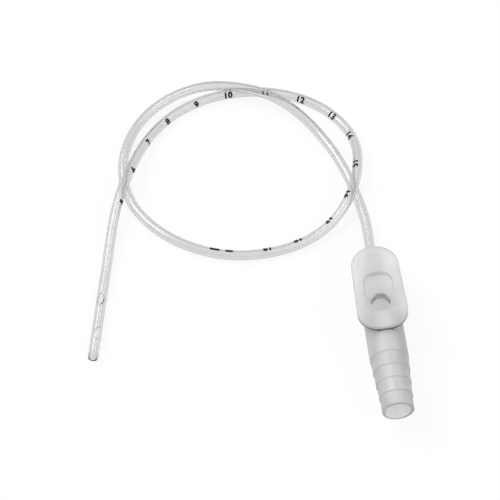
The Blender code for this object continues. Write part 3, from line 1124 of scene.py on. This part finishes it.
@dataclass
class ThumbConnector:
    """The one-piece connector: stepped barrel, tapered shoulder, socket and thumb plate."""

    pose: Matrix
    tube_radius: float
    tube_bore_radius: float
    mouth_diameter: float = 8.2 * MM
    mouth_bore: float = 6.6 * MM
    mouth_bore_depth: float = 3.9 * MM
    lumen_bore: float = 6.4 * MM
    lumen_depth: float = 32.8 * MM
    lumen_taper: float = 4.6 * MM
    lumen_round: float = 0.8 * MM
    lumen_edge_round: float = 0.03 * MM
    steps: int = 4
    step_pitch: float = 3.8 * MM
    step_rise: float = 0.24 * MM
    step_waist: float = 0.06 * MM
    waist_shares: tuple[float, ...] = (0.15, 0.3, 0.45, 0.6, 0.75, 0.9)     # along each step
    edge_round: float = 0.06 * MM
    mouth_round: float = 0.2 * MM
    mouth_inner_round: float = 0.15 * MM
    barrel_length: float = 31.0 * MM
    shoulder_length: float = 7.0 * MM
    shoulder_round: float = 2.5 * MM
    length: float = 47.5 * MM
    rear_round: float = 0.35 * MM
    socket_diameter: float = 5.8 * MM
    socket_depth: float = 9.0 * MM
    socket_play: float = 0.01 * MM
    socket_lead: float = 0.12 * MM
    socket_lead_round: float = 0.05 * MM
    plate_front_width: float = 13.5 * MM
    plate_rear_width: float = 12.2 * MM
    plate_front: float = 21.3 * MM
    plate_rear: float = 47.2 * MM
    plate_top: float = 6.7 * MM
    plate_thickness: float = 2.0 * MM
    plate_front_corner: float = 5.5 * MM
    plate_rear_corner: float = 6.0 * MM
    plate_edge_round: float = 0.55 * MM
    plate_lid_inset: float = 1.5 * MM   # the plate's flat faces begin this far in
    pocket_width: float = 7.8 * MM
    pocket_front: float = 26.15 * MM
    pocket_rear: float = 38.65 * MM
    pocket_depth: float = 1.1 * MM
    pocket_corner: float = 3.0 * MM
    pocket_draft: float = 0.3 * MM
    pocket_floor_round: float = 0.35 * MM
    pocket_lip_round: float = 0.2 * MM
    pocket_lid_inset: float = 1.0 * MM
    pocket_flare: float = 0.6 * MM
    port_diameter: float = 5.2 * MM
    port_centre: float = 30.0 * MM
    port_lip_round: float = 0.3 * MM
    port_flare: float = 0.3 * MM
    chimney_wall: float = 0.9 * MM
    chimney_round: float = 0.6 * MM
    chimney_flare: float = 1.0 * MM
    rib_width: float = 3.2 * MM
    rib_end_margin: float = 1.6 * MM
    rib_corner: float = 1.0 * MM
    rib_round: float = 0.5 * MM
    rib_flare: float = 0.8 * MM
    cut_flare_slope: float = 1 / 5      # how steeply the cutters open over their lips
    root_flare_slope: float = 1 / 6     # and the chimney and the rib under the plate
    cut_margin: float = 2.0 * MM
    segments: int = 96
    sharp_angle: float = math.radians(38.0)
    flat_weight: int = 80               # how far large faces draw the shading's normals

    @property
    def plate_underside(self) -> float:
        """Height of the plate's lower face over the bore's axis."""
        return self.plate_top - self.plate_thickness

    @property
    def plate_middle(self) -> float:
        """Height of the plate's mid plane."""
        return self.plate_top - self.plate_thickness / 2

    @property
    def barrel_radius(self) -> float:
        """Radius of the plain barrel behind the steps."""
        return self.mouth_diameter / 2 + self.steps * self.step_rise

    def outside(self) -> list[Point2]:
        """Outline the turned outside.

        Returns:
            Radius and distance from the mouth of each point, from the rear to the mouth.
        """
        small, radius = self.edge_round, self.barrel_radius
        corners = [
            (0.0, self.length, 0.0),
            (self.socket_diameter / 2, self.length, self.rear_round),
            (self.socket_diameter / 2, self.barrel_length + self.shoulder_length,
             self.shoulder_round),
            (radius, self.barrel_length, self.shoulder_round),
            (radius, self.steps * self.step_pitch, small),
        ]
        for step in range(self.steps, 0, -1):
            place = step * self.step_pitch
            radius -= self.step_rise
            corners.append((radius, place, small))
            for share in self.waist_shares:
                waist = self.step_waist * math.sin(math.pi * share)
                corners.append((radius - waist, place - share * self.step_pitch, 0.0))
            if step > 1:
                corners.append((radius, place - self.step_pitch, small))
        corners.append((radius, 0.0, self.mouth_round))
        corners.append((0.0, 0.0, 0.0))
        return rounded_path(corners)

    def way_through(self) -> list[Point2]:
        """Outline the cutter of the socket, the lumen and the mouth's bore.

        Returns:
            Radius and distance from the mouth of each point, from the rear to the mouth.
        """
        shoulder = self.length - self.socket_depth
        tube = self.tube_radius + self.socket_play
        bore, lumen, mouth = self.tube_bore_radius, self.lumen_bore / 2, self.mouth_bore / 2
        margin = self.cut_margin
        return rounded_path([
            (0.0, self.length + margin, 0.0),
            (tube + margin, self.length + margin, 0.0),
            (tube, self.length - self.socket_lead, self.socket_lead_round),
            (tube, shoulder, 0.0),
            (bore, shoulder, 0.0),
            (bore, self.lumen_depth + self.lumen_taper, self.lumen_round),
            (lumen, self.lumen_depth, self.lumen_round),
            (lumen, self.mouth_bore_depth, self.lumen_edge_round),
            (mouth, self.mouth_bore_depth, self.lumen_edge_round),
            (mouth, 0.0, self.mouth_inner_round),
            (mouth + margin, -margin / 2, 0.0),
            (mouth + margin, -margin, 0.0),
            (0.0, -margin, 0.0),
        ])

    def turned(self, name: str, profile: list[Point2]) -> bpy.types.Object:
        """A solid turned about the bore.

        Args:
            name: the object's name.
            profile: radius and distance from the mouth; the ends are on the axis.

        Returns:
            The closed solid.
        """
        rings = [[Vector((radius * math.cos(turn), along, radius * math.sin(turn)))
                  for turn in self.turns()] for radius, along in profile[1:-1]]
        return Workbench.stacked(name, rings)

    def upright(self, name: str, profile: list[Point2], centre: float) -> bpy.types.Object:
        """A solid turned about an upright axis on the bore's mid plane.

        Args:
            name: the object's name.
            profile: radius and height of each ring.
            centre: the axis' distance from the mouth.

        Returns:
            The closed solid.
        """
        rings = [[Vector((radius * math.cos(turn), centre + radius * math.sin(turn), height))
                  for turn in self.turns()] for radius, height in profile]
        return Workbench.stacked(name, rings)

    def turns(self) -> list[float]:
        """The angles of the points round a circle."""
        return [math.tau * step / self.segments for step in range(self.segments)]

    @staticmethod
    def outline(widths: tuple[float, float], front: float, rear: float,
                corners: tuple[float, float], inset: float, height: float,
                steps: int = 14) -> list[Vector]:
        """A rounded rectangle at one height; its long sides may taper.

        Args:
            widths: its widths at the front and at the rear.
            front: its end nearer the mouth.
            rear: its other end.
            corners: radii of its corners at the front and at the rear.
            inset: how far the whole outline is drawn in.
            height: its height over the bore's axis.
            steps: how many chords a corner has.

        Returns:
            The points, once round.
        """
        half = sum(widths) / 4
        middle = (front + rear) / 2
        taper = (widths[1] - widths[0]) / (2 * (rear - front) * half)
        near, far = (min(corner, half) - inset for corner in corners)
        low, high, side = front + inset, rear - inset, half - inset
        arcs = [
            (side - near, low + near, near, -90),
            (side - far, high - far, far, 0),
            (-side + far, high - far, far, 90),
            (-side + near, low + near, near, 180),
        ]
        points = []
        for x, y, radius, start in arcs:
            for step in range(steps + 1):
                angle = math.radians(start + 90 * step / steps)
                along = y + radius * math.sin(angle)
                widened = 1.0 + taper * (along - middle)
                points.append(Vector(((x + radius * math.cos(angle)) * widened, along, height)))
        return points

    def plate(self) -> bpy.types.Object:
        """Make the thumb plate.

        Returns:
            Its solid, with a rounded rim.
        """
        section = rounded_path([
            (self.plate_lid_inset, self.plate_underside, 0.0),
            (0.0, self.plate_underside, self.plate_edge_round),
            (0.0, self.plate_top, self.plate_edge_round),
            (self.plate_lid_inset, self.plate_top, 0.0)], steps=7)
        rings = [self.outline((self.plate_front_width, self.plate_rear_width),
                              self.plate_front, self.plate_rear,
                              (self.plate_front_corner, self.plate_rear_corner), inset, height)
                 for inset, height in section]
        return Workbench.stacked("plate_shape", rings)

    def pocket(self) -> bpy.types.Object:
        """Make the cutter of the thumb pocket.

        Returns:
            Its solid, from the pocket's floor up.
        """
        floor, flare = self.plate_top - self.pocket_depth, self.pocket_flare
        section = rounded_path([
            (self.pocket_draft + self.pocket_lid_inset, floor, 0.0),
            (self.pocket_draft, floor, self.pocket_floor_round),
            (0.0, self.plate_top, self.pocket_lip_round),
            (-flare, self.plate_top + flare * self.cut_flare_slope, 0.0),
            (-flare, self.plate_top + self.cut_margin, 0.0)], steps=6)
        rings = [self.outline((self.pocket_width, self.pocket_width), self.pocket_front,
                              self.pocket_rear, (self.pocket_corner, self.pocket_corner),
                              inset, height)
                 for inset, height in section]
        return Workbench.stacked("pocket_cut", rings)

    def port(self) -> bpy.types.Object:
        """Make the cutter of the vent port.

        Returns:
            Its solid, from the lumen up through the pocket's floor.
        """
        floor, flare = self.plate_top - self.pocket_depth, self.port_flare
        radius = self.port_diameter / 2
        profile = rounded_path([
            (radius, 0.0, 0.0),
            (radius, floor, self.port_lip_round),
            (radius + flare, floor + flare * self.cut_flare_slope, 0.0),
            (radius + flare, self.plate_top + self.cut_margin, 0.0)])
        return self.upright("port_cut", profile, self.port_centre)

    def chimney(self) -> bpy.types.Object:
        """Make the wall round the port.

        Returns:
            Its solid, from the bore's axis up into the plate.
        """
        radius = self.port_diameter / 2 + self.chimney_wall
        wide = radius + self.chimney_flare
        profile = rounded_path([
            (radius, 0.0, 0.0),
            (radius, self.plate_underside, self.chimney_round),
            (wide, self.plate_underside + self.chimney_flare * self.root_flare_slope, 0.0),
            (wide, self.plate_middle, 0.0)])
        return self.upright("chimney_shape", profile, self.port_centre)

    def rib(self) -> bpy.types.Object:
        """Make the rib that carries the plate along the barrel.

        Returns:
            Its solid, from inside the socket's wall up into the plate.
        """
        bottom = (self.tube_radius + self.socket_diameter / 2) / 2
        flare = self.rib_flare
        section = rounded_path([
            (0.0, bottom, 0.0),
            (0.0, self.plate_underside, self.rib_round),
            (-flare, self.plate_underside + flare * self.root_flare_slope, 0.0),
            (-flare, self.plate_middle, 0.0)])
        front = self.plate_front + self.rib_end_margin
        rear = self.plate_rear - self.rib_end_margin
        rings = [self.outline((self.rib_width, self.rib_width), front, rear,
                              (self.rib_corner, self.rib_corner), inset, height, steps=6)
                 for inset, height in section]
        return Workbench.stacked("rib_shape", rings)

    def build(self) -> bpy.types.Object:
        """Make the connector's fine mesh, lay it in place and dress it.

        Returns:
            The connector.
        """
        body = self.turned("milky_thumb_connector", self.outside())
        for shape in (self.plate(), self.chimney(), self.rib()):
            Workbench.combine(body, shape, "UNION")
        lumen = self.turned("lumen_cut", self.way_through())
        for shape in (self.port(), self.pocket(), lumen):
            Workbench.combine(body, shape, "DIFFERENCE")
        body.data.transform(self.pose)
        normal, bore = self.pose.to_3x3() @ UP, self.pose.to_3x3() @ AHEAD
        finish = MilkyPlastic(
            plate_normal=normal, bore_way=bore,
            plate_level=self.plate_underside + normal.dot(self.pose.translation),
            plate_start=self.plate_front + bore.dot(self.pose.translation),
            plate_length=self.plate_rear - self.plate_front)
        body.data.materials.clear()
        body.data.materials.append(finish.material())
        Workbench.smooth(body, self.sharp_angle)
        normals = body.modifiers.new("even normals", "WEIGHTED_NORMAL")
        normals.keep_sharp = True
        normals.weight = self.flat_weight
        Workbench.report(body)
        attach(body, BODY)
        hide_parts(Node.CONNECTOR.value)
        return body


@dataclass
class Studio:
    """A white table top, soft lamps and a camera at the photograph's angle."""

    camera_place: tuple[float, float, float] = (-54.78 * MM, -190.76 * MM, 390.49 * MM)
    aim: tuple[float, float, float] = (-31.36 * MM, 31.65 * MM, 0.0)
    lens: float = 119.8
    sensor: float = 36.0
    clip: tuple[float, float] = (0.01, 20.0)
    table_size: float = 3.0
    table_drop: float = 0.05 * MM
    table_colour: Colour = (0.90, 0.90, 0.90)
    table_roughness: float = 0.9
    table_glow: float = 0.88            # how much of what the camera sees of it is plain white
    table_light: float = 1.01
    room_grey: float = 0.55
    far_grey: float = 0.03              # the walls near the horizon, in gloss and in glass
    far_height: float = 0.70            # sine of the angle that those low walls reach up to
    side_height: float = 0.92           # and the same for the walls at the left and right
    far_dark: float = 0.4               # up to this share of it they are wholly dark
    key_size: float = 0.9
    key_power: float = 10.5
    key_place: tuple[float, float, float] = (-0.7, 0.5, 1.1)
    fill_size: float = 1.2
    fill_power: float = 5.0
    fill_place: tuple[float, float, float] = (0.9, -0.6, 1.0)

    def camera(self) -> None:
        """Set up the camera."""
        data = bpy.data.cameras.new("photo_camera")
        data.lens = self.lens
        data.sensor_width = self.sensor
        data.clip_start, data.clip_end = self.clip
        camera = bpy.data.objects.new("photo_camera", data)
        bpy.context.scene.collection.objects.link(camera)
        camera.location = self.camera_place
        towards = Vector(self.aim) - Vector(self.camera_place)
        camera.rotation_euler = towards.to_track_quat("-Z", "Y").to_euler()
        bpy.context.scene.camera = camera

    @staticmethod
    def seen(board: NodeBoard, *kinds: str) -> Link:
        """Tell some kinds of rays from the rest.

        Args:
            board: the board of a material or of the world.
            kinds: which rays: Camera, Glossy or Transmission.

        Returns:
            1 for a ray of one of the kinds, and 0 for any other.
        """
        path = board.node("ShaderNodeLightPath")
        shares = [Link(board, path.outputs[f"Is {kind} Ray"]) for kind in kinds]
        found = shares[0]
        for share in shares[1:]:
            found = board.maths("MAXIMUM", found, share)
        return found

    def table(self) -> None:
        """The table top: white to the camera, and it keeps the object's soft shadow."""
        work = bmesh.new()
        bmesh.ops.create_grid(work, x_segments=1, y_segments=1, size=self.table_size)
        bmesh.ops.translate(work, verts=work.verts, vec=(0.0, 0.0, -self.table_drop))
        mesh = bpy.data.meshes.new("table_top")
        work.to_mesh(mesh)
        work.free()
        table = Workbench.add("table_top", mesh)
        material = bpy.data.materials.new("white_table")
        material.use_nodes = True
        board = NodeBoard(material.node_tree)
        shader = material.node_tree.nodes["Principled BSDF"]
        shader.inputs["Base Color"].default_value = (*self.table_colour, 1.0)
        shader.inputs["Roughness"].default_value = self.table_roughness
        shader.inputs["Specular IOR Level"].default_value = 0.0
        white = board.link("ShaderNodeEmission", 0, sockets={"Strength": self.table_light})
        board.show("Surface", board.link("ShaderNodeMixShader", 0, sockets={
            0: self.seen(board, "Camera", "Glossy", "Transmission") * self.table_glow,
            1: Link(board, shader.outputs[0]), 2: white}))
        mesh.materials.append(material)

    def room(self) -> None:
        """White walls to the camera, grey ones to the light, and darker low ones to gloss."""
        world = bpy.data.worlds.new("studio_room")
        world.use_nodes = True
        bpy.context.scene.world = world
        board = NodeBoard(world.node_tree)
        background = world.node_tree.nodes["Background"]
        background.inputs["Color"].default_value = (1.0, 1.0, 1.0, 1.0)
        direct = self.seen(board, "Camera")
        bent = self.seen(board, "Glossy", "Transmission")
        across, ahead, height = board.axes(board.link("ShaderNodeTexCoord", "Generated"))
        # The small number keeps the way straight up from a division by nothing
        sideways = across * across / (across * across + ahead * ahead + 0.0001)
        reach = self.far_height + (self.side_height - self.far_height) * sideways
        low = 1.0 - board.ramp(height / reach, self.far_dark, 1.0)
        strength = self.room_grey - bent * low * (self.room_grey - self.far_grey)
        board.feed(background.inputs["Strength"], strength + (1.0 - strength) * direct)

    @staticmethod
    def softbox(name: str, size: float, power: float, place: tuple[float, float, float]) -> None:
        """Hang up a square lamp that points at the middle of the table.

        Args:
            name: the lamp's name.
            size: the length of its side.
            power: its power in watts.
            place: where it hangs.
        """
        data = bpy.data.lights.new(name, "AREA")
        data.shape = "SQUARE"
        data.size = size
        data.energy = power
        lamp = bpy.data.objects.new(name, data)
        bpy.context.scene.collection.objects.link(lamp)
        lamp.location = place
        lamp.rotation_euler = (-Vector(place)).to_track_quat("-Z", "Y").to_euler()

    def build(self) -> None:
        """Set up the camera, the table, the room and the lamps."""
        self.camera()
        self.table()
        self.room()
        self.softbox("key_softbox", self.key_size, self.key_power, self.key_place)
        self.softbox("fill_softbox", self.fill_size, self.fill_power, self.fill_place)
        bpy.context.scene.view_settings.view_transform = "Standard"


def main() -> None:
    """Build the studio and the pieces in order."""
    logging.basicConfig(level=logging.INFO, format="%(message)s")
    Studio().build()
    pose = Pose().matrix()
    tube = CatheterTube(pose)
    marks = DepthMarks(tube).build()
    tube.declare(tube.build())
    ThumbConnector(pose, tube.radius, tube.bore_radius).build()


if __name__ == "__main__":
    main()
